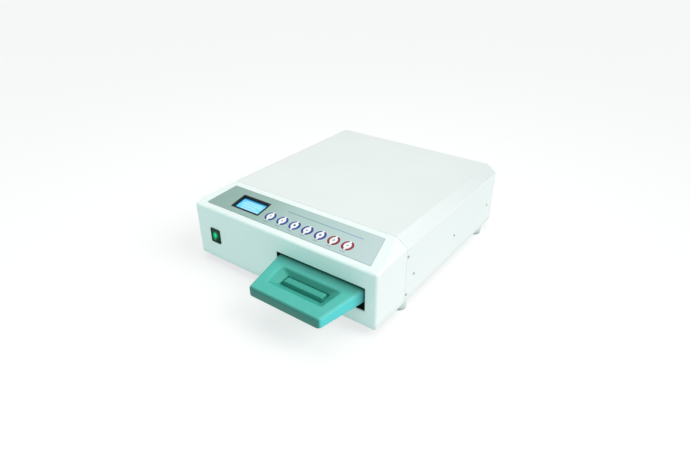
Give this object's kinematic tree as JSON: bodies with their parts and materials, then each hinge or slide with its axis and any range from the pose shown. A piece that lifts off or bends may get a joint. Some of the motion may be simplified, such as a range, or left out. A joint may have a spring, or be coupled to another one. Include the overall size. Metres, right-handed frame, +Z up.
{
  "type": "cassette steam steriliser",
  "caption": "Low white table-top steam steriliser with a sloping key panel, a lit display and a cassette with a teal loop handle that slides out of a slot in the front.",
  "frame": {"origin": "on the table under the middle of the whole outline, handle and rear fittings included", "axes": "+Z up, +Y from the front towards the back, +X to the right seen from the front"},
  "size_m": [0.4436, 0.599, 0.15],
  "materials": {
    "case_paint": "satin off-white powder coat",
    "pan_steel": "zinc-plated sheet",
    "foot_rubber": "pale grey rubber",
    "fixing_steel": "plain steel",
    "overlay_film": "printed grey-green film",
    "key_blue": "blue key",
    "key_red": "dark red key",
    "board_green": "circuit board",
    "black_plastic": "black moulded plastic",
    "display_lit": "lit blue display window",
    "rocker_green": "lit green rocker",
    "stainless": "drawn stainless steel",
    "silicone": "pale silicone",
    "handle_teal": "satin teal heat-resistant moulding",
    "slide_plastic": "white low-friction plastic",
    "cast_aluminium": "cast aluminium",
    "fitting_brass": "machined brass"
  },
  "bodies": {
    "case": {"front_fascia": "case_paint", "top_cover": "case_paint", "rear_panel": "case_paint", "base_pan": "pan_steel", "sleeve_supports": "pan_steel", "pump_bracket": "pan_steel", "rubber_feet": "foot_rubber", "cover_screws": "fixing_steel", "rear_screws": "fixing_steel", "foot_studs": "fixing_steel", "panel_posts": "fixing_steel", "board_standoffs": "fixing_steel", "generator_legs": "fixing_steel", "fan_guard": "fixing_steel", "mains_pins": "fixing_steel", "control_overlay": "overlay_film", "keypad_board": "board_green", "main_board": "board_green", "display_bezel": "black_plastic", "display_module": "black_plastic", "switch_housing": "black_plastic", "key_switches": "black_plastic", "fan_frame": "black_plastic", "mains_inlet": "black_plastic", "probe_block": "black_plastic", "cassette_switch": "black_plastic", "water_pump": "black_plastic", "valve_coil": "black_plastic", "air_pump": "black_plastic", "board_components": "black_plastic", "display_glass": "display_lit", "chamber_sleeve": "stainless", "probe_nozzles": "stainless", "water_hose": "silicone", "feed_hose": "silicone", "steam_hose": "silicone", "exhaust_hose": "silicone", "guide_rails": "slide_plastic", "steam_generator": "cast_aluminium", "generator_cover": "cast_aluminium", "exhaust_valve": "fitting_brass", "rear_fittings": "fitting_brass"},
    "cassette": {"cassette_tray": "stainless", "cassette_lid": "stainless", "lid_seal": "silicone", "port_seals": "silicone", "tray_handle": "handle_teal", "latch_pin": "fixing_steel", "handle_screws": "fixing_steel"},
    "latch": {"lid_latch": "handle_teal"},
    "rocker": {"switch_rocker": "rocker_green"},
    "fan": {"fan_rotor": "black_plastic"},
    "key_1": {"key_1": "key_blue"},
    "key_2": {"key_2": "key_blue"},
    "key_3": {"key_3": "key_blue"},
    "key_4": {"key_4": "key_blue"},
    "key_5": {"key_5": "key_blue"},
    "key_6": {"key_6": "key_red"},
    "key_7": {"key_7": "key_red"}
  },
  "joints": [
    {"name": "cassette_slide", "type": "slide", "parent": "case", "child": "cassette", "axis": [0, -1, 0], "range_m": [0, 0.34]},
    {"name": "latch_press", "type": "hinge", "parent": "cassette", "child": "latch", "pos_m": [0.098, -0.2145, 0.069], "axis": [1, 0, 0], "range_deg": [0, 7], "stiffness_Nm_per_rad": 0.4, "springref_deg": -5.73},
    {"name": "switch_rock", "type": "hinge", "parent": "case", "child": "rocker", "pos_m": [-0.168, -0.196, 0.071], "axis": [1, 0, 0], "range_deg": [0, 18]},
    {"name": "fan_spin", "type": "hinge", "parent": "case", "child": "fan", "pos_m": [0.12, 0.2715, 0.079], "axis": [0, 1, 0], "continuous": true},
    {"name": "key_1_press", "type": "slide", "parent": "case", "child": "key_1", "axis": [0, 0.2011, -0.9796], "range_m": [0, 0.0005], "stiffness_N_per_m": 400, "springref_m": -0.0003},
    {"name": "key_2_press", "type": "slide", "parent": "case", "child": "key_2", "axis": [0, 0.2011, -0.9796], "range_m": [0, 0.0005], "stiffness_N_per_m": 400, "springref_m": -0.0003},
    {"name": "key_3_press", "type": "slide", "parent": "case", "child": "key_3", "axis": [0, 0.2011, -0.9796], "range_m": [0, 0.0005], "stiffness_N_per_m": 400, "springref_m": -0.0003},
    {"name": "key_4_press", "type": "slide", "parent": "case", "child": "key_4", "axis": [0, 0.2011, -0.9796], "range_m": [0, 0.0005], "stiffness_N_per_m": 400, "springref_m": -0.0003},
    {"name": "key_5_press", "type": "slide", "parent": "case", "child": "key_5", "axis": [0, 0.2011, -0.9796], "range_m": [0, 0.0005], "stiffness_N_per_m": 400, "springref_m": -0.0003},
    {"name": "key_6_press", "type": "slide", "parent": "case", "child": "key_6", "axis": [0, 0.2011, -0.9796], "range_m": [0, 0.0005], "stiffness_N_per_m": 400, "springref_m": -0.0003},
    {"name": "key_7_press", "type": "slide", "parent": "case", "child": "key_7", "axis": [0, 0.2011, -0.9796], "range_m": [0, 0.0005], "stiffness_N_per_m": 400, "springref_m": -0.0003}
  ]
}
